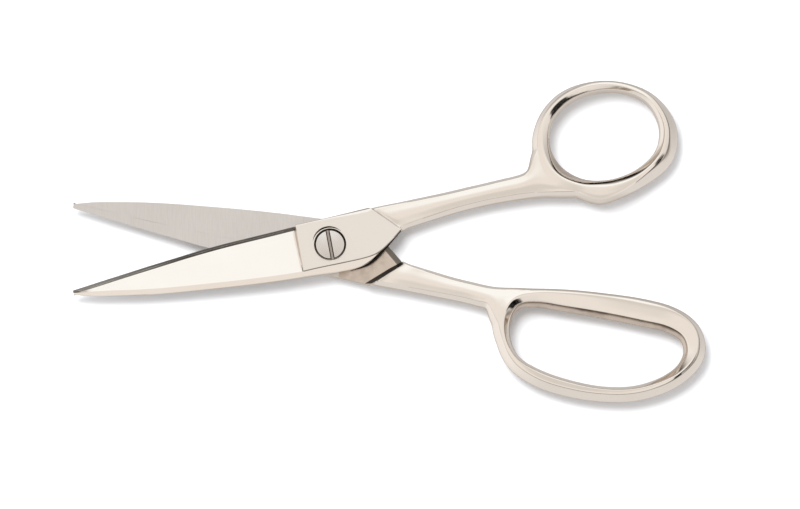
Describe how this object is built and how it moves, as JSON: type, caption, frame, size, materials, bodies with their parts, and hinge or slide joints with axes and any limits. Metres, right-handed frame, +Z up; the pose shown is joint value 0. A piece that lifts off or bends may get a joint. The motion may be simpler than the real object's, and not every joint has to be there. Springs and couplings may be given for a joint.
{
  "type": "sewing shears",
  "caption": "Forged, nickel-plated sewing shears with a round thumb bow and a long finger bow, crossed on a slotted pivot screw.",
  "frame": {"origin": "on the pivot screw's axis, on the flat end of the screw and nut that rests on the table", "axes": "+X from the blade tips towards the finger bows, midway between the two halves as they lie; +Z up, out of the slotted screw head; +Y towards the thumb bow"},
  "size_m": [0.1755, 0.0904, 0.0104],
  "materials": {
    "nickel_plate": "warm bright nickel plate, mirror-polished on the bows and blade, fine satin on the pivot flats",
    "ground_steel": "ground across the edge, satin",
    "screw_steel": "nickel plate with fine turning marks",
    "washer_steel": "plain spring steel"
  },
  "bodies": {
    "rear_half": {"rear_frame": "nickel_plate", "rear_plate": "ground_steel", "pivot_screw": "screw_steel", "lock_washer": "washer_steel", "pivot_nut": "screw_steel"},
    "front_half": {"front_frame": "nickel_plate", "front_plate": "ground_steel"}
  },
  "joints": [
    {"name": "blade_pivot", "type": "hinge", "parent": "rear_half", "child": "front_half", "pos_m": [0, 0, 0.0052], "axis": [0, 0, 1], "range_deg": [-18.5, 90]}
  ]
}
